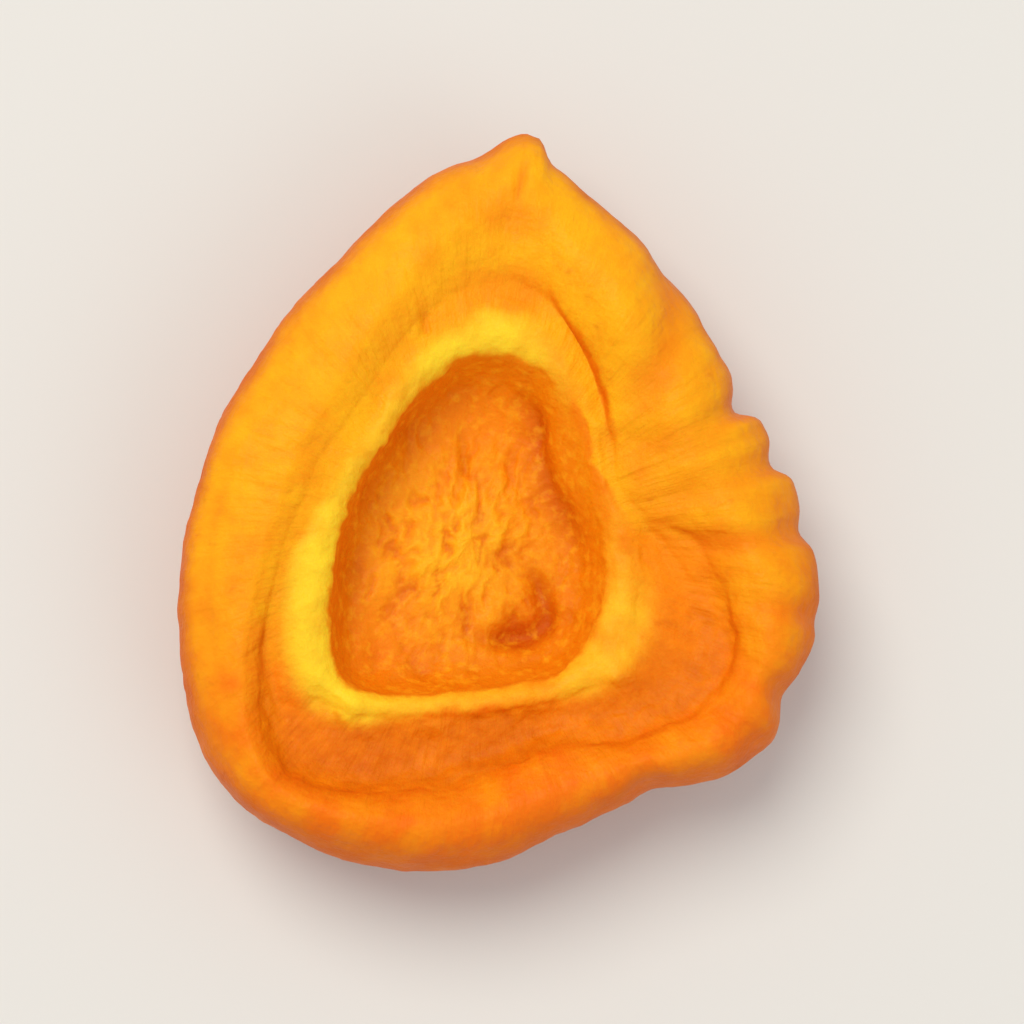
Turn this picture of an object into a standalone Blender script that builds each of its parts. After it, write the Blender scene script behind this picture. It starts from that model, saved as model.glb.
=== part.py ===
"""A dried apricot half, cut side up, as one solid.

Drying has rolled the skin inwards over the cut face all the way round. Inside that roll lie a band of
cut flesh, the raised ring of fibres that held the stone, and the hollow that the stone left. The skin
side is a low dome that rests on a small flat spot.

Units are metres, +Z is up and +Y points to the fruit's tip. The origin is the middle of the footprint,
on the surface that the fruit rests on.
"""

import math

import bmesh
import bpy
from mathutils import Matrix, Vector

MM = 0.001

# Driving dimensions
LENGTH = 46.3 * MM
WIDTH = 39.4 * MM
HEIGHT = 13.6 * MM
FLAT_RADIUS = 5.6 * MM
FLESH_UNDER_HOLLOW = 5.6 * MM

# The plan's guide lines, as distances in millimetres from the middle of the hollow. Each row is one
# line, which starts towards +X and goes anticlockwise in equal steps of 15 degrees.
SKIN_EDGE = (21.9, 20.8, 19.7, 19.1, 20.2, 21.8, 23.9, 23.0, 20.1, 18.2, 17.3, 17.1,
             17.3, 18.0, 19.2, 20.9, 22.0, 21.6, 21.0, 19.9, 19.0, 19.4, 22.0, 22.0)
ROLL_LIP = (15.0, 11.6, 10.2, 10.8, 12.2, 14.3, 16.3, 15.6, 13.2, 11.6, 10.8, 11.0,
            11.2, 12.2, 13.8, 16.0, 18.2, 17.2, 15.6, 14.3, 13.7, 14.8, 16.6, 17.0)
RING_CREST = (9.6, 8.6, 8.0, 8.6, 10.0, 12.1, 12.7, 12.3, 10.9, 9.5, 8.7, 8.9,
              9.2, 10.0, 11.1, 12.6, 13.1, 11.8, 10.9, 10.5, 10.6, 11.0, 11.3, 10.3)
HOLLOW_EDGE = (8.1, 7.2, 6.7, 7.2, 8.3, 10.0, 10.9, 10.6, 9.2, 8.2, 7.5, 7.7,
               7.9, 8.3, 9.1, 10.3, 11.4, 10.7, 9.8, 9.5, 9.6, 9.9, 9.4, 8.7)

# The middle of the hollow lies off the middle of the footprint, away from the tip.
HOLLOW_SHIFT = Vector((-2.2 * MM, -2.1 * MM, 0))

# The pointed end of the fruit, and the pleats that the skin has folded into beside it
TIP_BEARING = 91
TIP_SPREAD = 4
TIP_LENGTH = 1.4 * MM
PLEATS = {65: 0.4 * MM, 36: 1.3 * MM, 24: 1.0 * MM, 11: 0.8 * MM, -17: 0.5 * MM}
PLEAT_SPREAD = 4

# Heights above the flat spot, as shares of the whole height, from the underside up and over the roll
UNDERSIDE_RISE = 0.05
SHOULDER_RISE = 0.12
SIDE_RISE = 0.29
WIDEST_RISE = 0.52
UPPER_SIDE_RISE = 0.73
OUTER_ROLL_RISE = 0.85
ROLL_RISE = 0.94
INNER_ROLL_RISE = 0.88
LIP_RISE = 0.72
BAND_RISE = 0.61
RING_RISE = 0.72
RING_INSIDE_RISE = 0.63
WALL_RISE = 0.44
HOLLOW_EDGE_LIFT = 0.02
HOLLOW_RISE = FLESH_UNDER_HOLLOW / HEIGHT

# The roll stands highest on the side at this bearing and lowest opposite, by this share of the height
# each way, and a pleat pulls it down by up to PLEAT_DROP.
HIGH_SIDE = 195
HIGH_SIDE_LIFT = 0.06
PLEAT_DROP = 0.05

SEGMENTS = 48
SKIN_COLOUR = (0.91, 0.36, 0.02, 1.0)
SKIN_ROUGHNESS = 0.5


def clear_scene():
    for obj in list(bpy.data.objects):
        bpy.data.objects.remove(obj)


def between(guide, degrees):
    """A guide line's distance at a bearing, on the smooth closed curve through its points."""
    count = len(guide)
    place = degrees / 360 * count
    first = math.floor(place)
    along = place - first
    before, start, end, after = (guide[(first + step) % count] for step in (-1, 0, 1, 2))
    start_slope = (end - before) / 2
    end_slope = (after - start) / 2
    bend = 3 * (end - start) - 2 * start_slope - end_slope
    twist = 2 * (start - end) + start_slope + end_slope
    return (start + along * (start_slope + along * (bend + along * twist))) * MM


def hump(degrees, middle, spread):
    """1 at a bearing, falling off smoothly to 0 on both sides of it."""
    turn = (degrees - middle + 180) % 360 - 180
    return math.exp(-((turn / spread) ** 2))


def pleat_depth(degrees):
    return sum(depth * hump(degrees, bearing, PLEAT_SPREAD) for bearing, depth in PLEATS.items())


def skin_edge(degrees):
    tip = TIP_LENGTH * hump(degrees, TIP_BEARING, TIP_SPREAD)
    return between(SKIN_EDGE, degrees) + tip - pleat_depth(degrees)


def section(degrees):
    """The half's section at a bearing: (distance, share of the height, share of HOLLOW_SHIFT) of each
    ring, from the flat spot up over the roll and down into the hollow. The factors are the shares of
    the edge, the roll and the hollow at which the rings lie."""
    edge = skin_edge(degrees)
    lip = between(ROLL_LIP, degrees)
    crest = between(RING_CREST, degrees)
    hollow = between(HOLLOW_EDGE, degrees)
    roll = edge - lip
    lift = HIGH_SIDE_LIFT * math.cos(math.radians(degrees - HIGH_SIDE))
    top = lift - PLEAT_DROP * pleat_depth(degrees) / max(PLEATS.values())
    return (
        (FLAT_RADIUS * 0.55, 0.0, 0.0),
        (FLAT_RADIUS, 0.0, 0.0),
        (FLAT_RADIUS * 1.25, 0.0, 0.0),
        (edge * 0.62, UNDERSIDE_RISE, 0.3),
        (edge * 0.83, SHOULDER_RISE, 0.6),
        (edge * 0.96, SIDE_RISE, 0.9),
        (edge, WIDEST_RISE, 1.0),
        (edge - roll * 0.08, UPPER_SIDE_RISE + lift / 2, 1.0),
        (edge - roll * 0.26, OUTER_ROLL_RISE + top, 1.0),
        (edge - roll * 0.52, ROLL_RISE + top, 1.0),
        (edge - roll * 0.79, INNER_ROLL_RISE + top, 1.0),
        (lip, LIP_RISE + lift / 2, 1.0),
        (lip * 0.45 + crest * 0.55, BAND_RISE, 1.0),
        (crest, RING_RISE + lift / 2, 1.0),
        ((crest + hollow) / 2, RING_INSIDE_RISE, 1.0),
        (hollow, WALL_RISE, 1.0),
        (hollow * 0.80, HOLLOW_RISE + HOLLOW_EDGE_LIFT, 1.0),
        (hollow * 0.45, HOLLOW_RISE, 1.0),
    )


def section_points(segment):
    """The points of one section in space."""
    degrees = 360 * segment / SEGMENTS
    outward = Vector((math.cos(math.radians(degrees)), math.sin(math.radians(degrees)), 0))
    return [
        outward * distance + HOLLOW_SHIFT * shift + Vector((0, 0, rise * HEIGHT))
        for distance, rise, shift in section(degrees)
    ]


def loft(sections):
    """A closed mesh: quads between neighbouring sections, and one face at each end."""
    mesh = bmesh.new()
    columns = [[mesh.verts.new(point) for point in points] for points in sections]
    for here, following in zip(columns, columns[1:] + columns[:1]):
        for ring in range(len(here) - 1):
            mesh.faces.new((here[ring], following[ring], following[ring + 1], here[ring + 1]))
    mesh.faces.new(column[0] for column in reversed(columns))
    mesh.faces.new(column[-1] for column in columns)
    bmesh.ops.recalc_face_normals(mesh, faces=mesh.faces)
    return mesh


def rounded_object(mesh, name):
    """An object that shows the mesh rounded once by Blender's subdivision."""
    data = bpy.data.meshes.new(name)
    mesh.to_mesh(data)
    mesh.free()
    obj = bpy.data.objects.new(name, data)
    bpy.context.scene.collection.objects.link(obj)
    rounding = obj.modifiers.new("rounding", "SUBSURF")
    rounding.levels = rounding.render_levels = 1
    return obj


def fit_to_size(obj):
    """Scales the mesh so that its rounded shape has the driving dimensions, and moves the middle of its
    footprint to the origin and its flat spot to height 0."""
    bpy.context.view_layer.update()
    rounded = obj.evaluated_get(bpy.context.evaluated_depsgraph_get())
    points = [vertex.co.copy() for vertex in rounded.to_mesh().vertices]
    rounded.to_mesh_clear()
    low = Vector(map(min, *points))
    high = Vector(map(max, *points))
    size = high - low
    middle = (low + high) / 2
    stretch = Matrix.Diagonal((WIDTH / size.x, LENGTH / size.y, HEIGHT / size.z, 1))
    obj.data.transform(stretch @ Matrix.Translation((-middle.x, -middle.y, -low.z)))


def skin_material():
    material = bpy.data.materials.new("dried_apricot")
    material.use_nodes = True
    shader = material.node_tree.nodes["Principled BSDF"]
    shader.inputs["Base Color"].default_value = SKIN_COLOUR
    shader.inputs["Roughness"].default_value = SKIN_ROUGHNESS
    shader.inputs["Metallic"].default_value = 0.0
    return material


def make_apricot_half():
    sections = [section_points(segment) for segment in range(SEGMENTS)]
    obj = rounded_object(loft(sections), "apricot_half")
    fit_to_size(obj)
    obj.data.shade_smooth()
    obj.data.materials.append(skin_material())


clear_scene()
make_apricot_half()
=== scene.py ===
import math

import bpy
import numpy as np
from mathutils import Matrix, Vector


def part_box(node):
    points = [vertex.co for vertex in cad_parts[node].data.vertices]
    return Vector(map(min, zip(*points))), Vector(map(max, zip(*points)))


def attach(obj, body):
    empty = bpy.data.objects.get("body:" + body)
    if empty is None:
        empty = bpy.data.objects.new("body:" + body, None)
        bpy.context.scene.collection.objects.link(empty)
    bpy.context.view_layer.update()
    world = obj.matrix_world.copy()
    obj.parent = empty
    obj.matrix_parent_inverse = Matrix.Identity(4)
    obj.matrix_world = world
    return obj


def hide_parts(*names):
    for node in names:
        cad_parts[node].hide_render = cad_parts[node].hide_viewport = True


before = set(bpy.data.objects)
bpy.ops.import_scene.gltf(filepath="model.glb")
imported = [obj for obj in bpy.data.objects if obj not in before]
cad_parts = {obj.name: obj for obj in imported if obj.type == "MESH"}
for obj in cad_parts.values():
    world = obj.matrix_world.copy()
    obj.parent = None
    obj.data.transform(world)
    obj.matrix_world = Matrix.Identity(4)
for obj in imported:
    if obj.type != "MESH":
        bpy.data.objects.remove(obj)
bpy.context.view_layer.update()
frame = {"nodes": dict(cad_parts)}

cadLow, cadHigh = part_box("apricot_half")
print("frame loaded:", ", ".join(frame["nodes"]))

# Lengths are in millimetres until the mesh is made, with +Y towards the tip and +Z up.
mm = 0.001

# A row of values is read round the middle of the stone hollow, from +X anticlockwise. The four lines
# of the plan have a distance every 15 degrees, and the other rows have a value every 30 degrees.
half = {
    "hollowCentre": (-1.2, -2.5),  # from the middle of the flat spot
    # the plan: outline, lip of the rolled skin, outer foot of the ring of fibres, edge of the hollow
    "skinEdge": (21.9, 20.8, 19.7, 19.1, 20.2, 21.8, 23.9, 23.0, 20.1, 18.2, 17.3, 17.1,
                 17.3, 18.0, 19.2, 20.9, 22.0, 21.6, 21.0, 19.9, 19.0, 19.4, 22.0, 22.0),
    "rollLip": (14.6, 11.0, 9.5, 10.3, 11.9, 14.1, 16.2, 15.6, 13.0, 11.2, 10.5, 10.7,
                10.9, 11.9, 13.5, 15.9, 18.2, 17.2, 15.6, 14.3, 13.7, 14.8, 16.6, 17.0),
    "ringFoot": (10.8, 9.6, 8.9, 9.7, 11.4, 13.6, 14.2, 13.6, 12.3, 10.5, 9.8, 10.0,
                 10.2, 11.3, 12.8, 14.3, 14.0, 12.6, 11.7, 11.2, 11.3, 11.8, 12.6, 11.5),
    "hollowEdge": (8.1, 7.9, 7.8, 8.4, 9.4, 10.6, 11.0, 10.6, 9.2, 8.2, 7.6, 7.7,
                   7.9, 8.3, 9.1, 10.6, 12.0, 10.9, 9.8, 9.5, 9.6, 9.9, 9.4, 8.7),
    # how far out from the hollow the ring is pale, and how pale it is, from 0 to 1; how pale it is changes
    # round the ring as painted light, highest on its top and left, where the lamp falls
    "ringWidth": (3.0, 0.7, 0.5, 2.4, 1.8, 1.4, 1.6, 3.3, 2.7, 1.1, 1.1, 3.2),
    "ringPaintedLight": (0.2, 0.08, 0, 0.95, 0.8, 0.6, 0.8, 1.0, 1.0, 0.5, 0.35, 0.5),
    # the hollow's wall, from steep at 0 to gentle at 1
    "wallSlope": (0.3, 0.9, 1.0, 0.3, 0.2, 0.3, 0.3, 0.1, 0.1, 0.2, 0.2, 0.2),
    # where the rolled skin is highest, as a share of the way from the outline to its lip
    "crestShare": (0.5, 0.5, 0.55, 0.55, 0.65, 0.75, 0.78, 0.75, 0.6, 0.5, 0.45, 0.48),
    # how softly the lip runs out into the flesh, from 0 to 1
    "lipBlur": (1.0, 0.3, 0, 0.5, 0.5, 0.5, 0.5, 0.2, 0, 0.1, 0.3, 1.0),
    # heights of the roll, of its lip, of the cut flesh inside it and of the ring of fibres
    "rollTop": (12.1, 12.2, 12.8, 12.2, 12.3, 12.3, 12.3, 12.2, 12.2, 12.1, 11.9, 12.0),
    "lipHeight": (10.3, 10.5, 11.4, 11.4, 11.6, 11.8, 11.9, 11.7, 10.8, 10.3, 10.3, 10.2),
    "bandHeight": (9.6, 10.3, 10.5, 10.9, 11.4, 11.6, 11.7, 11.4, 9.5, 8.9, 8.9, 9.5),
    "ringHeight": (10.0, 10.3, 10.7, 11.1, 11.3, 11.5, 11.5, 11.3, 10.3, 9.8, 9.7, 9.9),
    "hollowFloor": 6.1,  # its height
    # Flesh shows where the gap between lip and ring, and the step down to it, are wider and deeper
    # than the first value, and fully from the second on. A seam takes its place where the gap is shut,
    # painted as a line of crease shade.
    "pocketGap": (0.9, 2.2),
    "pocketDrop": (0.0, 0.8),
    "seamDrop": (0.3, 0.9),
    # the heart's pulp is painted palest, partly with painted highlights on its threads
    "heart": (-2.2, -3.3),  # the middle of the palest, roughest pulp
    "heartRadius": 4.7,
    # the cheek's deeper orange towards the bottom right, partly blush and partly painted shade where the
    # light falls off: the way it faces, and from where to where along that way it deepens
    "cheekFacing": (0.35, -0.94),
    "cheekReach": (-8, 21),
    "cheekBlushAndShade": 0.8,
    "leastBlushAndShade": 0.12,
    "flatRadius": 5.6,  # of the spot that the half rests on
    "columns": 432,  # faces round the half
    "seed": 11,  # another seed gives other wrinkles
    "grainRadius": 19,  # of the circle that the skin's wrinkles are read on
    "grainStretch": 0.2,  # wrinkles are this much slower along the section than round the half
    "arcRadius": 6,  # the same circle for the flesh
    # The pointed tip, and the notches that pleats of skin leave in the outline: bearing in degrees,
    # spread to each side of it in degrees, and depth. A negative depth stands out.
    "notches": (
        (90.6, 1.5, 1.5, -1.2),
        (93.0, 1.6, 4.2, -1.3),
        (82, 5, 5, 0.3),
        (65, 4.0, 4.0, 0.4),
        (36, 2.2, 4.0, 1.2),
        (24, 2.0, 3.4, 0.9),
        (11.5, 2.0, 3.4, 0.7),
        (-3, 2.5, 2.5, 0.2),
        (-16.5, 3.0, 3.0, 0.4),
        (-23, 3.0, 3.0, -0.3),
        (-44, 3.5, 3.5, 0.3),
    ),
    # Folds in the rolled skin: points that each follows, half its width and its depth
    "skinFolds": (
        (((8.0, 18.4), (8.5, 13.8), (8.4, 10.6), (7.5, 8.2), (6.2, 5.6)), 1.4, 0.5),
        (((15.4, 10.0), (12.4, 6.4), (10.0, 5.1), (7.8, 4.7), (5.9, 4.8)), 1.0, 0.27),
        (((18.6, 6.4), (14.0, 3.9), (11.0, 2.7), (8.0, 2.0)), 1.0, 0.25),
        (((16.4, 8.6), (13.6, 6.0), (12.0, 5.4)), 0.7, 0.15),
        (((20.0, 4.4), (16.4, 2.6), (14.4, 2.2)), 0.7, 0.15),
        (((22.0, 3.0), (16.2, 0.3), (12.7, -0.7), (9.0, -0.4)), 0.8, 0.4),
        (((22.4, -3.2), (18.4, -3.7), (15.0, -3.4)), 0.8, 0.25),
        (((21.8, -9.6), (17.8, -8.3), (15.0, -7.2)), 0.9, 0.3),
        (((20.6, -13.4), (17.0, -11.2), (14.0, -9.4)), 0.8, 0.3),
        (((12.6, -18.2), (10.8, -14.6), (9.2, -12.0)), 0.9, 0.25),
        (((-16.4, 1.0), (-17.2, -4.5), (-16.6, -10.0), (-15.0, -15.0)), 0.6, 0.15),
        (((-17.0, -1.4), (-13.6, 0.0), (-10.4, 1.6)), 0.7, 0.15),
        (((-2.3, 21.0), (-2.4, 19.4), (-2.5, 17.8)), 0.3, 0.3),
        (((-6.7, 10.4), (-6.5, 9.5), (-6.3, 8.6)), 0.25, 0.25),
    ),
    # Grooves in the hollow's floor, the third of them round a pit where its pulp has shrunk away
    "hollowGrooves": (
        (((-3.0, 7.6), (-6.2, 3.4), (-7.7, -1.5), (-8.2, -5.5), (-7.4, -11.0)), 0.9, 0.4),
        (((-1.7, 6.9), (0.8, 5.8), (1.9, 3.2), (2.9, 1.2), (4.4, -0.6), (6.4, -3.0)), 0.7, 0.75),
        (((-1.6, -8.6), (1.6, -8.3), (3.6, -7.6), (4.3, -6.2), (3.4, -4.4), (2.2, -3.4)), 0.65, 0.8),
        (((-3.2, 5.0), (-2.4, 1.6), (-2.8, -1.4)), 0.4, 0.3),
    ),
    # Dents: middle, radius and depth. A negative depth is a bulge.
    "dents": (
        ((-2.8, 16.9), 1.7, 0.5),
        ((5.3, 5.5), 0.5, -0.3),
        ((2.5, -7.3), 1.1, 0.6),
        ((5.0, -5.4), 0.8, -0.35),
        ((-1.5, -1.5), 3.4, -0.5),
        ((9.0, -9.4), 1.1, -0.6),
        ((-8.4, -14.2), 0.9, 0.4),
        ((-6.6, -14.1), 1.0, -0.3),
        ((11.0, 10.0), 2.2, -0.2),
        ((4.6, 12.4), 2.6, -0.45),
    ),
    # Size and height of each kind of unevenness. The last ones have a strength in place of a height,
    # for how much lines sway, borders are ragged and colours are patchy.
    "relief": {
        "skinSwell": (6.5, 0.2),
        "skinPuckers": (1.5, 0.07),
        "skinGrain": (0.8, 0.03),
        "domeSwell": (7.5, 0.25),
        "domeFurrows": (3.2, 0.2),
        "fleshLumps": (1.2, 0.14),
        "fleshArcs": (1.5, 0.16),
        "ringLumps": (2.4, 0.12),
        "ringGrain": (0.7, 0.04),
        "ringCrest": (1.6, 0.08),
        "lipTeeth": (1.3, 0.2),
        "hollowRim": (1.1, 0.1),
        "pulpClumps": (1.5, 0.17),
        "pulpThreads": (0.8, 0.3),
        "pulpSway": (2.0, 0.5),
        "furrowSway": (3.0, 0.6),
        "raggedBorders": (0.9, 0.5),
        "raggedRing": (2.2, 0.45),
        "raggedHollow": (1.2, 0.35),
        "patchyRingLight": (2.2, 0.25),
        "patchyBlushAndShade": (5.0, 0.14),
    },
    # How strongly each paints shade into the skin's creases and the pulp's grooves, and how much it pales
    # the fibres, where it also paints highlights
    "creaseShade": {"furrows": 0.4, "folds": 1.1, "seam": 0.7, "dents": 0.7},
    "grooveShade": {"dents": 1.1, "gaps": 0.5},
    "fibreShade": {"heart": 0.5, "clumps": 0.9, "threads": 0.5},
}

# Where the regions of the half begin and end along its section, as numbers of sectionStations
borders = {
    "offTheFlat": (3, 5.5),
    "shiftsToHollow": (2, 8),
    "domeEnds": (6.5, 8.5),
    "cutSide": (8, 10),
    "fleshStarts": (14.4, 15.8),
    "fleshEnds": (17.6, 19.4),
    "seamStarts": (14.8, 15.4),
    "seamEnds": (16.2, 17.2),
    "ringStarts": (17.0, 18.6),
    "ringEnds": (21.0, 21.7),
    "pulpStarts": (21.4, 23.6),
    "bakeSeam": 9,
}


def fromHex(colour):
    # An sRGB hex colour as linear RGBA
    channels = [int(colour[i:i + 2], 16) / 255 for i in (1, 3, 5)]
    linear = [c / 12.92 if c <= 0.04045 else ((c + 0.055) / 1.055) ** 2.4 for c in channels]
    return (*linear, 1.0)


def curveBetween(before, start, end, after, along):
    # A smooth curve from start to end, with slopes that follow the values on both sides
    startSlope = (end - before) / 2
    endSlope = (after - start) / 2
    bend = 3 * (end - start) - 2 * startSlope - endSlope
    twist = 2 * (start - end) + startSlope + endSlope
    return start + along * (startSlope + along * (bend + along * twist))


def guideAt(guide, bearings):
    # The smooth closed curve through a row of the half's values, read at bearings in degrees
    values = np.array(half[guide])
    place = bearings / 360 * len(values)
    first = np.floor(place).astype(int)
    around = (values[(first + step) % len(values)] for step in (-1, 0, 1, 2))
    return curveBetween(*around, place - first)


def smoothStep(low, high, value):
    share = np.clip((value - low) / (high - low), 0, 1)
    return share * share * (3 - 2 * share)


def makeLattice(seed, size):
    # The random slopes that gradient noise is made from, and the order they are picked in
    random = np.random.default_rng(seed)
    slopes = random.normal(size=(size, 3))
    slopes /= np.linalg.norm(slopes, axis=1)[:, None]
    return random.permutation(size), slopes


latticeSize = 256
order, slopes = makeLattice(half["seed"], latticeSize)


def noiseAt(points, size, octaves=1, offset=0.0):
    # Gradient noise from about -1 to 1 with features of the given size, finer octaves added. Each
    # offset gives another pattern.
    total = np.zeros(points.shape[:-1])
    strength = 1.6
    octaveShift = 17.3
    for octave in range(octaves):
        place = points / size * 2 ** octave + offset + octaveShift * octave
        cell = np.floor(place).astype(int)
        inside = place - cell
        ease = inside ** 3 * (inside * (inside * 6 - 15) + 10)
        for corner in np.ndindex(2, 2, 2):
            at = cell + corner
            turn = 0
            for axis in range(3):
                turn = order[(turn + at[..., axis]) % latticeSize]
            weight = np.prod(np.where(corner, ease, 1 - ease), axis=-1)
            total += strength * weight * np.sum(slopes[turn] * (inside - corner), axis=-1)
        strength /= 2
    return total


def unevenness(kind, points, octaves, offset=0.0):
    # Noise with the size and height that the half's relief gives for this kind
    size, height = half["relief"][kind]
    return height * noiseAt(points, size, octaves, offset)


def ridged(noise):
    # Noise turned into thin raised lines
    return 1 - 2 * np.abs(noise)


def circle(bearings, radius):
    # Points on a level circle, so that noise read there closes up
    angles = np.radians(bearings)
    return np.stack([radius * np.cos(angles), radius * np.sin(angles), 0 * angles], axis=-1)


def skinOutline(bearings):
    # The outline's distance at each bearing without its notches, and what the notches take off
    cut = np.zeros_like(bearings)
    for middle, before, after, depth in half["notches"]:
        turn = (bearings - middle + 180) % 360 - 180
        cut += depth * np.exp(-(turn / np.where(turn < 0, before, after)) ** 2)
    return guideAt("skinEdge", bearings), cut


def sectionStations(bearings):
    # The half's section at each bearing, from the middle of its underside up over the roll and down
    # to the middle of the hollow: distance, height, and how many faces it takes to reach the next one
    outline, cut = skinOutline(bearings)
    edge = outline - cut
    lip = guideAt("rollLip", bearings)
    foot = np.minimum(guideAt("ringFoot", bearings), lip - 0.5)
    # only where flesh shows between the lip and the ring is the lip ragged and clear of it
    teeth = smoothStep(0.8, 2.5, lip - foot)
    lip = lip + teeth * unevenness("lipTeeth", circle(bearings, 15), 2)
    hollow = guideAt("hollowEdge", bearings) + unevenness("hollowRim", circle(bearings, 9), 2, 5.0)
    crest = 0.55 * foot + 0.45 * hollow
    roll = edge - lip
    share = guideAt("crestShare", bearings)
    rollTop = guideAt("rollTop", bearings)
    lipHeight = guideAt("lipHeight", bearings)
    bandHeight = guideAt("bandHeight", bearings)
    ringHeight = guideAt("ringHeight", bearings) + unevenness("ringCrest", circle(bearings, 12), 2)
    blur = guideAt("lipBlur", bearings)
    slope = guideAt("wallSlope", bearings)
    floor = np.full_like(bearings, half["hollowFloor"])
    flat = np.full_like(bearings, half["flatRadius"])
    zero = np.zeros_like(bearings)
    return (
        # 0 to 3: the flat spot and its rim
        (flat * 0.02, zero, 3),
        (flat * 0.5, zero, 5),
        (flat, zero, 5),
        (flat * 1.3, zero + 0.03, 6),
        # 4 to 8: the dome of skin, out to the outline
        (outline * 0.56, zero + 0.7, 8),
        (outline * 0.74, zero + 1.8, 8),
        (outline * 0.88 - cut * 0.2, zero + 3.5, 8),
        (outline * 0.97 - cut * 0.6, zero + 5.6, 8),
        (edge, zero + 7.6, 8),
        # 9 to 14: up over the rolled skin
        (edge - roll * 0.03, 0.72 * rollTop + 0.4, 8),
        (edge - roll * 0.13, 0.87 * rollTop, 9),
        (edge - roll * share * 0.55, 0.96 * rollTop, 10),
        (edge - roll * share, rollTop + 0.15, 12),
        (edge - roll * (0.35 + 0.65 * share), 0.8 * rollTop + 0.2 * lipHeight, 12),
        (edge - roll * (0.75 + 0.25 * share), 0.3 * rollTop + 0.7 * lipHeight, 11),
        # 15 to 17: down the lip and across the cut flesh
        (lip + 0.05 + (0.1 + 0.4 * blur) * teeth, 0.8 * lipHeight + 0.2 * bandHeight, 5),
        (lip - 0.1 - (0.25 + 0.6 * blur) * teeth, 0.2 * lipHeight + 0.8 * bandHeight, 5),
        (lip * 0.65 + foot * 0.35 - 0.1, bandHeight - 0.3 * teeth, 8),
        # 18 to 21: over the ring of fibres
        (foot, 0.65 * bandHeight + 0.35 * ringHeight, 8),
        (0.6 * foot + 0.4 * crest, 0.25 * bandHeight + 0.75 * ringHeight, 6),
        (crest, ringHeight + 0.15, 7),
        (0.8 * hollow + 0.2 * crest, ringHeight - 0.15, 6),
        # 22 to 27: down the hollow's wall and across its floor
        (hollow * (1 - 0.1 * slope) - 0.1, 0.65 * ringHeight + 0.35 * floor, 10),
        (hollow * (0.97 - 0.28 * slope) - 0.2, 0.32 * ringHeight + 0.68 * floor, 9),
        (hollow * (0.82 - 0.28 * slope), floor + 0.4, 12),
        (hollow * 0.46, floor + 0.3, 12),
        (hollow * 0.22, floor + 0.5, 9),
        (hollow * 0.02, floor + 0.5, 0),
    )


def splineThrough(stations):
    # Each section rounded by a cubic B-spline: the station number, distance and height of every ring
    controls = np.array([station[:2] for station in stations])
    controls = np.concatenate([[2 * controls[0] - controls[1]], controls, [2 * controls[-1] - controls[-2]]])
    rings = []
    places = []
    for span, station in enumerate(stations[:-1]):
        steps = station[-1]
        for step in range(steps):
            t = step / steps
            weights = ((1 - t) ** 3, 3 * t ** 3 - 6 * t ** 2 + 4,
                       -3 * t ** 3 + 3 * t ** 2 + 3 * t + 1, t ** 3)
            rings.append(sum(w / 6 * controls[span + i] for i, w in enumerate(weights)))
            places.append(span + t)
    rings.append(controls[-2])
    places.append(len(stations) - 1)
    return np.array(places), np.array(rings)


def normalsOf(points):
    # Unit normals of a grid of points whose columns close on themselves
    across = np.roll(points, -1, axis=1) - np.roll(points, 1, axis=1)
    along = np.gradient(points, axis=0)
    normals = np.cross(across, along)
    return normals / np.maximum(np.linalg.norm(normals, axis=-1), 1e-9)[..., None]


def walkedTo(points):
    # How far each ring lies from the first one along the section, as a mean of all the columns
    steps = np.linalg.norm(np.diff(points, axis=0), axis=-1).mean(1)
    return np.concatenate([[0], np.cumsum(steps)])


def distanceTo(points, path):
    # Each point's level distance to a smooth line through the path's points, and how far along it is
    knots = np.array(path)
    padded = np.concatenate([[2 * knots[0] - knots[1]], knots, [2 * knots[-1] - knots[-2]]])
    shares = np.arange(8) / 8
    line = [curveBetween(*padded[i:i + 4], t) for i in range(len(knots) - 1) for t in shares]
    line = np.array(line + [knots[-1]])
    nearest = np.full(points.shape[:-1], np.inf)
    share = np.zeros(points.shape[:-1])
    for i, (start, end) in enumerate(zip(line, line[1:])):
        run = end - start
        t = np.clip(((points[..., :2] - start) @ run) / (run @ run), 0, 1)
        gap = np.linalg.norm(points[..., :2] - start - t[..., None] * run, axis=-1)
        closer = gap < nearest
        nearest = np.where(closer, gap, nearest)
        share = np.where(closer, (i + t) / (len(line) - 1), share)
    return nearest, share


def halfGrid():
    # The half's points as a grid of rings and columns, with where each ring lies in the section
    bearings = np.arange(half["columns"]) * 360 / half["columns"]
    places, rings = splineThrough(sectionStations(bearings))
    angles = np.radians(bearings)
    plan = rings[:, 0, :, None] * np.stack([np.cos(angles), np.sin(angles)], axis=-1)
    # the underside's rings lie round the flat spot's middle, and the cut side's round the hollow's
    shifted = smoothStep(*borders["shiftsToHollow"], places)[:, None, None]
    shift = shifted * np.array(half["hollowCentre"])
    points = np.concatenate([plan + shift, rings[:, 1, :, None]], axis=-1)
    return bearings, places, rings, points


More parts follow.
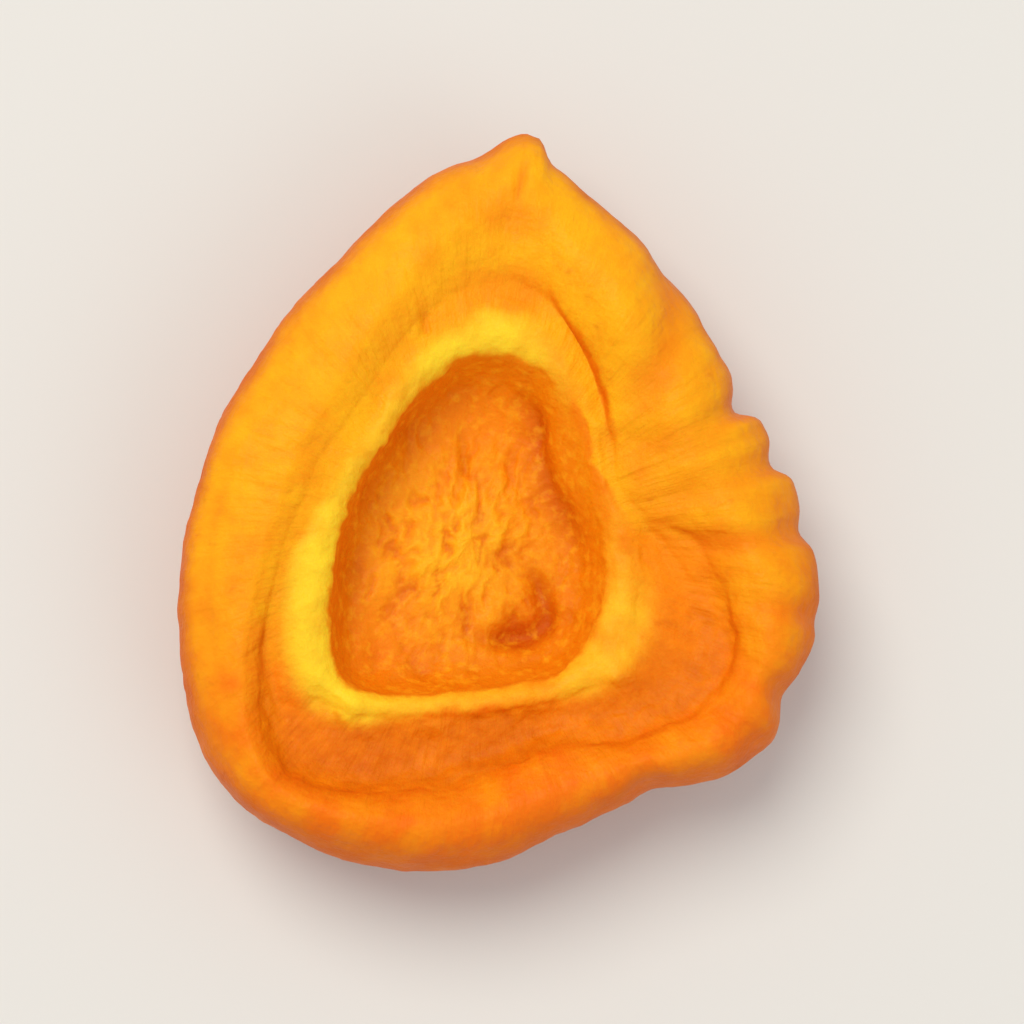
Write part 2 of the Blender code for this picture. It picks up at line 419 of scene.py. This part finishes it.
def regionsOf(bearings, places, rings, points):
    # How much of each region a point belongs to, with ragged borders
    ragged = places[:, None] + unevenness("raggedBorders", points, 3, 3.0)
    gap = guideAt("rollLip", bearings) - guideAt("ringFoot", bearings)
    drop = guideAt("lipHeight", bearings) - guideAt("bandHeight", bearings)
    pocket = smoothStep(*half["pocketGap"], gap) * smoothStep(*half["pocketDrop"], drop)
    band = smoothStep(*borders["fleshStarts"], ragged) * (1 - smoothStep(*borders["fleshEnds"], ragged))
    # the seam: where the lip meets the ring, a line painted with crease shade
    seam = smoothStep(*borders["seamStarts"], ragged) * (1 - smoothStep(*borders["seamEnds"], ragged))
    seam *= (1 - pocket) * smoothStep(*half["seamDrop"], drop)
    beyond = rings[:, 0] - guideAt("hollowEdge", bearings) + unevenness("raggedRing", points, 4, 7.0)
    # the pale colour fades out on both sides of the ring's width
    pale = 1 - smoothStep(0.6, 1.35, beyond / guideAt("ringWidth", bearings))
    raggedEdge = places[:, None] + unevenness("raggedHollow", points, 3, 3.0)
    aboveHollow = 1 - smoothStep(*borders["ringEnds"], raggedEdge)
    # painted light: the ring paler on its lit top and left, dimmer on its right
    paintedRingLight = guideAt("ringPaintedLight", bearings) + unevenness("patchyRingLight", points, 3, 9.0)
    return {
        "flesh": band * pocket,
        "seam": seam,
        "ring": aboveHollow * smoothStep(*borders["ringStarts"], ragged) * pale,
        "hollow": 1 - aboveHollow,
        "paintedRingLight": np.clip(paintedRingLight, 0, 1),
    }


def foldsAt(points, lines):
    # How deep a set of lines is pressed in at each point, each line tapering at both ends
    depths = np.zeros(points.shape[:-1])
    for path, width, depth in lines:
        gap, share = distanceTo(points, path)
        taper = smoothStep(0, 0.3, share) * (1 - smoothStep(0.7, 1, share))
        depths = np.maximum(depths, depth * taper * np.exp(-(gap / width) ** 2))
    return depths


def dentsAt(points):
    depths = np.zeros(points.shape[:-1])
    for middle, radius, depth in half["dents"]:
        gap = np.linalg.norm(points[..., :2] - np.array(middle), axis=-1)
        depths += depth * np.exp(-(gap / radius) ** 2)
    return depths


def skinRelief(places, points, grain):
    # The unevenness of all the skin and that of the dome, which shrinking has drawn into shallow
    # furrows that run down and under, and how deep each point lies in one
    offTheFlat = smoothStep(*borders["offTheFlat"], places)[:, None]
    dome = offTheFlat * (1 - smoothStep(*borders["domeEnds"], places))[:, None]
    swell = unevenness("skinSwell", points, 2) + unevenness("skinPuckers", grain, 2, 2.0)
    swell += unevenness("skinGrain", points, 2, 8.0)
    size, height = half["relief"]["domeFurrows"]
    sway = unevenness("furrowSway", points, 2, 60.0)[..., None]
    furrows = ridged(noiseAt(grain + sway, size, 2, 15.0))
    domed = dome * (unevenness("domeSwell", points, 2, 25.0) + height * furrows)
    return offTheFlat * swell, domed, dome * smoothStep(-0.1, -0.9, furrows)


def pulpRelief(places, points, hollow, dents):
    # Soft pulp, its fibres drawn out up the hollow towards the tip: its relief, the painted shade in its
    # dents and in the gaps between its clumps, and where it is painted pale, with painted highlights on the
    # threads in its heart
    sway = [unevenness("pulpSway", points, 3, offset) for offset in (30.0, 40.0)]
    wander = points + np.stack([*sway, np.zeros(points.shape[:-1])], axis=-1)
    clumpSize, clumpHeight = half["relief"]["pulpClumps"]
    threadSize, threadShare = half["relief"]["pulpThreads"]
    clumpStretch = np.array((1.0, 0.6, 0.7))
    threadStretch = np.array((1.0, 0.45, 0.6))
    clumps = noiseAt(wander * clumpStretch, clumpSize, 4, 20.0)
    threads = ridged(noiseAt(wander * threadStretch, threadSize, 2, 12.0))
    pulp = hollow * smoothStep(*borders["pulpStarts"], places)[:, None]
    gap = np.linalg.norm(points[..., :2] - np.array(half["heart"]), axis=-1)
    heart = np.exp(-(gap / half["heartRadius"]) ** 2)
    relief = pulp * clumpHeight * (1 + heart) * (clumps + threadShare * threads)
    shade = half["grooveShade"]
    # painted shade in the gaps between clumps, stronger in the heart
    gaps = smoothStep(0, 0.8, -clumps) * (0.3 + heart)
    recessShade = pulp * (shade["dents"] * dents + shade["gaps"] * gaps)
    shade = half["fibreShade"]
    # pale fibres, and painted highlights on the threads in the heart
    pale = heart * (shade["heart"] + shade["clumps"] * clumps + shade["threads"] * threads)
    return relief, recessShade, pulp * np.clip(pale, 0, 1)


def sculpt(bearings, places, points, regions):
    # How far each point is raised along its normal, the masks that follow from that relief, and the
    # grain: points that run round the half and along its section, so that wrinkles follow the roll
    cutSide = smoothStep(*borders["cutSide"], places)[:, None]
    skin = (1 - regions["flesh"]) * (1 - regions["ring"]) * (1 - regions["hollow"])
    folds = cutSide * skin * foldsAt(points, half["skinFolds"])
    grooves = regions["hollow"] * foldsAt(points, half["hollowGrooves"])
    dents = dentsAt(points)
    walked = walkedTo(points)[:, None]
    grain = np.broadcast_to(circle(bearings, half["grainRadius"]), points.shape).copy()
    grain[..., 2] = half["grainStretch"] * walked
    arcs = circle(bearings, half["arcRadius"]) + walked[..., None] * np.array((0, 0, 1))
    swell, domed, furrowed = skinRelief(places, points, grain)
    dented = np.clip(dents, 0, 1)
    pulp, recessShade, pale = pulpRelief(places, points, regions["hollow"], dented)
    height = skin * swell + domed + pulp - folds - grooves - cutSide * dents
    height += regions["flesh"] * (unevenness("fleshLumps", points, 4, 4.0)
                                  + unevenness("fleshArcs", arcs, 3, 5.0))
    height += regions["ring"] * (unevenness("ringLumps", points, 3, 6.0)
                                 + unevenness("ringGrain", points, 2, 9.0))
    # painted shade: the crease colour darkens the dome's furrows, the folds, the seam and the dents
    shade = half["creaseShade"]
    crease = shade["furrows"] * furrowed + shade["folds"] * folds + shade["seam"] * regions["seam"]
    crease += shade["dents"] * cutSide * skin * dented
    # painted shade in the hollow's grooves, dents and gaps
    groove = np.clip(grooves + recessShade, 0, 1)
    masks = {name: regions[name] for name in ("flesh", "ring", "hollow", "paintedRingLight")}
    masks.update(crease=np.clip(crease, 0, 1), groove=groove, fibre=pale * (1 - groove))
    return height, masks, grain


def blushAndShadeOf(points, normals):
    # The skin's deeper orange on the cheek away from the tip, partly blush and partly painted shade, and how
    # far it faces outwards or down, which the flanks' painted shade follows
    across, along = half["cheekFacing"]
    cheek = smoothStep(*half["cheekReach"], (across * points[..., 0] + along * points[..., 1]) / mm)
    patches = unevenness("patchyBlushAndShade", points / mm, 4, 50.0)
    # partly blush, partly painted shade away from the lamp
    blushAndShade = half["leastBlushAndShade"] + half["cheekBlushAndShade"] * cheek + patches
    # painted shade: sides facing outwards or down are painted darker, as if other fruit shaded them
    flankShade = 1 - smoothStep(0.1, 0.9, normals[..., 2] + 0.5 * patches)
    return {"blushAndShade": np.clip(blushAndShade, 0, 1), "flankShade": flankShade}


def addBakeMap(mesh, places, points):
    # Texture coordinates that lay the skin side and the cut side out as two ovals, side by side
    ringCount, columns = points.shape[:2]
    walked = walkedTo(points)
    seam = int(np.searchsorted(places, borders["bakeSeam"]))
    radii = np.stack([walked / walked[seam], (walked[-1] - walked) / (walked[-1] - walked[seam])])
    angles = 2 * np.pi * np.arange(columns) / columns
    outward = np.stack([np.cos(angles), np.sin(angles)], axis=-1)
    ovalMiddles = np.array(((0.25, 0.5), (0.75, 0.5)))[:, None, None]
    ovalRadii = np.array((0.24, 0.48))
    laid = ovalMiddles + radii[..., None, None] * outward * ovalRadii
    laid = np.concatenate([laid.reshape(2, -1, 2), np.repeat(ovalMiddles[:, 0], 2, axis=1)], axis=1)
    corners = np.empty(len(mesh.loops), int)
    mesh.loops.foreach_get("vertex_index", corners)
    sizes = np.empty(len(mesh.polygons), int)
    mesh.polygons.foreach_get("loop_total", sizes)
    # faces come ring by ring, then the fan under the flat spot, then the fan in the hollow
    cutSide = np.arange(len(sizes)) >= seam * columns
    quads = (ringCount - 1) * columns
    cutSide[quads:quads + columns] = False
    side = np.repeat(cutSide.astype(int), sizes)
    mesh.uv_layers.new(name="OFBake").data.foreach_set("uv", laid[side, corners].ravel())


def fitToCad(points):
    # The points in metres, filling the CAD model's box
    low = points.reshape(-1, 3).min(0)
    high = points.reshape(-1, 3).max(0)
    scale = (np.array(cadHigh) - np.array(cadLow)) / (high - low)
    return (points - low) * scale + np.array(cadLow)


def facesOf(ringCount, columns):
    # Quads between neighbouring rings, and a fan of triangles at each end
    index = np.arange(ringCount * columns).reshape(ringCount, columns)
    following = np.roll(index, -1, axis=1)
    quads = np.stack([index[:-1], following[:-1], following[1:], index[1:]], axis=-1).reshape(-1, 4)
    under, inHollow = ringCount * columns, ringCount * columns + 1
    faces = quads.tolist()
    faces += [(under, int(b), int(a)) for a, b in zip(index[0], following[0])]
    faces += [(inHollow, int(a), int(b)) for a, b in zip(index[-1], following[-1])]
    return faces


def withEnds(grid):
    # The grid's values in a row, and after them the means of its first and last rings
    ends = [grid[0].mean(0), grid[-1].mean(0)]
    return np.concatenate([grid.reshape(-1, *grid.shape[2:]), ends])


def buildHalf():
    bearings, places, rings, points = halfGrid()
    regions = regionsOf(bearings, places, rings, points)
    height, masks, grain = sculpt(bearings, places, points, regions)
    points = points + height[..., None] * normalsOf(points)
    points[..., 2] = np.maximum(points[..., 2], 0)
    points = fitToCad(points)
    masks.update(blushAndShadeOf(points, normalsOf(points)))
    mesh = bpy.data.meshes.new("driedApricotHalf")
    mesh.from_pydata(withEnds(points).tolist(), [], facesOf(*points.shape[:2]))
    mesh.shade_smooth()
    for name, value in masks.items():
        layer = mesh.attributes.new(name, "FLOAT", "POINT")
        layer.data.foreach_set("value", withEnds(value))
    layer = mesh.attributes.new("grain", "FLOAT_VECTOR", "POINT")
    layer.data.foreach_set("vector", withEnds(grain).ravel())
    addBakeMap(mesh, places, points)
    obj = bpy.data.objects.new("driedApricotHalf", mesh)
    bpy.context.scene.collection.objects.link(obj)
    print("half built:", len(mesh.polygons), "faces")
    return obj


def addNode(tree, kind, settings=None, inputs=None, output=None):
    # Adds one node and gives back one of its outputs, the first if none is named. Settings are the
    # node's own properties, and inputs are values or sockets to link.
    node = tree.nodes.new("ShaderNode" + kind)
    for name, value in (settings or {}).items():
        setattr(node, name, value)
    for name, value in (inputs or {}).items():
        if isinstance(name, int):
            socket = node.inputs[name]
        else:
            socket = next(s for s in node.inputs if name in (s.identifier, s.name))
        if isinstance(value, bpy.types.NodeSocket):
            tree.links.new(value, socket)
        else:
            socket.default_value = value
    return next((s for s in node.outputs if output in (None, s.identifier, s.name)), None)


driedFruit = {
    "skinGold": "#ffb20e",
    "skinOrange": "#f27404",
    "flankShadeOrange": "#ee7a06",
    "flankShadeDark": "#cc5203",
    "freckle": "#c05806",
    "creaseOrange": "#ee7204",
    "fleshLight": "#fa8c0a",
    "fleshDark": "#d86803",
    "ringYellow": "#ffd32a",
    "ringOrange": "#f48606",
    "hollowOrange": "#f48a06",
    "hollowDark": "#d25c02",
    "fibreGold": "#ffb41a",
    # how much the gradient towards the bottom right darkens the cut flesh, as painted shade, and the hollow
    "fleshShade": 1.8,
    "hollowLowerDarkening": 0.45,
    # sizes in mm
    "mottleSize": 2.2,  # patches of skin that dried unevenly
    "freckleSize": 1.2,
    "streakSize": 0.8,  # drawn out along the skin's grain
    "fleshGrainSize": 1.0,
    "fleckSize": 0.7,  # pale ends of fibres in the hollow
    "glossSize": 3,  # duller and shinier patches
    "wrinkleSize": 0.45,  # about twice as coarse as real ones, so that they show
    "wrinkleDepth": 0.08,
    "scatterDepth": 1.2,  # how far light travels inside
    "scatterColour": (1.0, 0.6, 0.15),  # red light travels furthest, then green
    "scatterShare": 0.3,
    "bumpStrength": 0.6,
    "roughness": (0.42, 0.6),
    "ior": 1.45,  # near that of syrup and wax
    "specular": 0.14,  # a dried surface has little of a wet one's shine
}


def driedFruitMaterial():
    # Sun-dried apricot: satin, waxy and slightly see-through, so that light bleeds round its folds
    material = bpy.data.materials.new("driedApricotFlesh")
    material.use_nodes = True
    tree = material.node_tree
    tree.nodes.clear()
    hexes = {name: fromHex(value) for name, value in driedFruit.items() if isinstance(value, str)}
    place = addNode(tree, "TexCoord", output="Object")
    grain = addNode(tree, "Attribute", {"attribute_name": "grain"}, output="Vector")
    masks = {name: addNode(tree, "Attribute", {"attribute_name": name}, output="Fac")
             for name in ("flesh", "ring", "hollow", "crease", "groove", "fibre", "paintedRingLight", "blushAndShade",
                          "flankShade")}

    def blend(factor, first, second):
        return addNode(tree, "Mix", {"data_type": "RGBA"}, {
            "Factor_Float": factor, "A_Color": first, "B_Color": second}, "Result_Color")

    def noise(vector, size, detail, toLow=0.0, toHigh=1.0, low=0.3, high=0.7):
        value = addNode(tree, "TexNoise", {}, {"Vector": vector, "Scale": 1 / size, "Detail": detail})
        return addNode(tree, "MapRange", {}, {"Value": value, "From Min": low, "From Max": high,
                                              "To Min": toLow, "To Max": toHigh})

    def combine(operation, first, second):
        return addNode(tree, "Math", {"operation": operation}, {0: first, 1: second})

    # skin: gold, with more orange on the cheek towards the bottom right (partly painted shade), and painted
    # shade down the flanks and in the creases
    mottle = noise(place, driedFruit["mottleSize"] * mm, 5.0, toLow=-0.2, toHigh=0.2)
    streaks = noise(grain, driedFruit["streakSize"], 4.0, toLow=-0.07, toHigh=0.07)
    # deeper orange towards the bottom right: partly blush, partly painted shade
    tint = combine("ADD", masks["blushAndShade"], combine("ADD", mottle, streaks))
    skin = blend(tint, hexes["skinGold"], hexes["skinOrange"])
    # painted shade for the flanks
    shade = blend(combine("ADD", mottle, 0.5), hexes["flankShadeOrange"], hexes["flankShadeDark"])
    skin = blend(masks["flankShade"], skin, shade)
    freckles = noise(place, driedFruit["freckleSize"] * mm, 2.0, toHigh=0.2, low=0.68, high=0.78)
    skin = blend(freckles, skin, hexes["freckle"])
    # painted shade in the skin's creases
    skin = blend(masks["crease"], skin, hexes["creaseOrange"])

    # cut flesh, ring of fibres and hollow
    grains = noise(place, driedFruit["fleshGrainSize"] * mm, 5.0, toLow=-1.05, toHigh=-0.6)
    # painted shade: the cut flesh darker towards the bottom right
    depth = combine("MULTIPLY", masks["blushAndShade"], driedFruit["fleshShade"])
    flesh = blend(combine("ADD", depth, grains), hexes["fleshLight"], hexes["fleshDark"])
    # the ring's painted light: yellow where lit, orange where not
    ring = blend(masks["paintedRingLight"], hexes["ringOrange"], hexes["ringYellow"])
    # the hollow darker in its grooves and gaps, as painted shade, and towards the bottom right
    hollowTowardsBottom = combine("MULTIPLY", masks["blushAndShade"], driedFruit["hollowLowerDarkening"])
    hollow = blend(combine("ADD", masks["groove"], hollowTowardsBottom), hexes["hollowOrange"], hexes["hollowDark"])
    # pale fibres, partly painted highlights
    hollow = blend(masks["fibre"], hollow, hexes["fibreGold"])
    flecks = noise(place, driedFruit["fleckSize"] * mm, 3.0, toHigh=0.42, low=0.5)
    hollow = blend(flecks, hollow, hexes["fibreGold"])
    colour = blend(masks["flesh"], skin, flesh)
    colour = blend(masks["ring"], colour, ring)
    colour = blend(masks["hollow"], colour, hollow)

    # fine wrinkles along the grain, but not on the ring or in the hollow, and pores all over
    wrinkles = noise(grain, driedFruit["wrinkleSize"], 3.0)
    smooth = combine("MAXIMUM", masks["hollow"], masks["ring"])
    wrinkles = combine("MULTIPLY", wrinkles, combine("SUBTRACT", 1.0, smooth))
    pores = noise(place, driedFruit["wrinkleSize"] * mm, 3.0)
    normal = addNode(tree, "Bump", {}, {
        "Height": combine("ADD", wrinkles, pores), "Strength": driedFruit["bumpStrength"],
        "Distance": driedFruit["wrinkleDepth"] * mm,
    })
    gloss = noise(place, driedFruit["glossSize"] * mm, 3.0, *driedFruit["roughness"])
    shader = addNode(tree, "BsdfPrincipled", {}, {
        "Base Color": colour, "Roughness": gloss, "IOR": driedFruit["ior"],
        "Specular IOR Level": driedFruit["specular"], "Normal": normal,
        "Subsurface Weight": driedFruit["scatterShare"],
        "Subsurface Radius": driedFruit["scatterColour"],
        "Subsurface Scale": driedFruit["scatterDepth"] * mm,
    })
    addNode(tree, "OutputMaterial", {}, {"Surface": shader})
    print("dried fruit made:", len(tree.nodes), "nodes")
    return material


paper = {
    "reach": 3.0,  # from the middle to each side, in metres, so that no edge comes into view
    "colour": "#e2e0dc",
    "roughness": 0.9,
}


def paperMaterial():
    # Matt white paper: pale, and never shiny enough to mirror the fruit
    material = bpy.data.materials.new("mattWhitePaper")
    material.use_nodes = True
    shader = material.node_tree.nodes["Principled BSDF"]
    shader.inputs["Base Color"].default_value = fromHex(paper["colour"])
    shader.inputs["Roughness"].default_value = paper["roughness"]
    return material


def buildFloor():
    reach = paper["reach"]
    mesh = bpy.data.meshes.new("floor")
    corners = [(-reach, -reach, 0), (reach, -reach, 0), (reach, reach, 0), (-reach, reach, 0)]
    mesh.from_pydata(corners, [], [(0, 1, 2, 3)])
    floor = bpy.data.objects.new("floor", mesh)
    bpy.context.scene.collection.objects.link(floor)
    mesh.materials.append(paperMaterial())
    print("floor laid")
    return floor


studio = {
    "lean": 10.2,  # how far the tip leans to the right of straight up, in degrees
    "cameraOffset": (-30, -29, 350),  # from the fruit, in mm: right, up and towards the viewer
    "lens": 200,  # mm
    "room": "#ffffff",
    "roomStrength": 0.58,
    # from the fruit, in metres, with the power in watts
    "lamps": {
        "softBox": {"place": (-0.42, 0.35, 1.0), "size": 0.7, "power": 7.5, "colour": "#fffaf0"},
        "fill": {"place": (0.7, -0.5, 0.8), "size": 0.8, "power": 1.2, "colour": "#ffffff"},
    },
}


def addCamera(middle):
    lean = math.radians(studio["lean"])
    right = Vector((math.cos(lean), math.sin(lean), 0))
    up = Vector((-math.sin(lean), math.cos(lean), 0))
    across, along, above = studio["cameraOffset"]
    place = middle + (right * across + up * along + Vector((0, 0, above))) * mm
    towards = (middle - place).normalized()
    side = towards.cross(up).normalized()
    data = bpy.data.cameras.new("camera")
    data.lens = studio["lens"]
    data.clip_start = 10 * mm
    camera = bpy.data.objects.new("camera", data)
    turn = Matrix((side, side.cross(towards), -towards)).transposed()
    camera.matrix_world = Matrix.Translation(place) @ turn.to_4x4()
    bpy.context.scene.collection.objects.link(camera)
    bpy.context.scene.camera = camera


def addLamp(name, lamp, middle):
    data = bpy.data.lights.new(name, "AREA")
    data.shape = "DISK"
    data.size = lamp["size"]
    data.energy = lamp["power"]
    data.color = fromHex(lamp["colour"])[:3]
    place = Vector(lamp["place"])
    light = bpy.data.objects.new(name, data)
    light.location = middle + place
    light.rotation_euler = (-place).to_track_quat("-Z", "Y").to_euler()
    bpy.context.scene.collection.objects.link(light)


def addStudio(middle):
    addCamera(middle)
    for name, lamp in studio["lamps"].items():
        addLamp(name, lamp, middle)
    world = bpy.data.worlds.new("paleRoom")
    world.use_nodes = True
    background = world.node_tree.nodes["Background"]
    background.inputs["Color"].default_value = fromHex(studio["room"])
    background.inputs["Strength"].default_value = studio["roomStrength"]
    bpy.context.scene.world = world
    bpy.context.scene.view_settings.view_transform = "Standard"
    print("camera and lamps placed")


driedHalf = buildHalf()
driedHalf.data.materials.append(driedFruitMaterial())
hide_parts("apricot_half")
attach(driedHalf, "root")
buildFloor()
addStudio((cadLow + cadHigh) / 2)
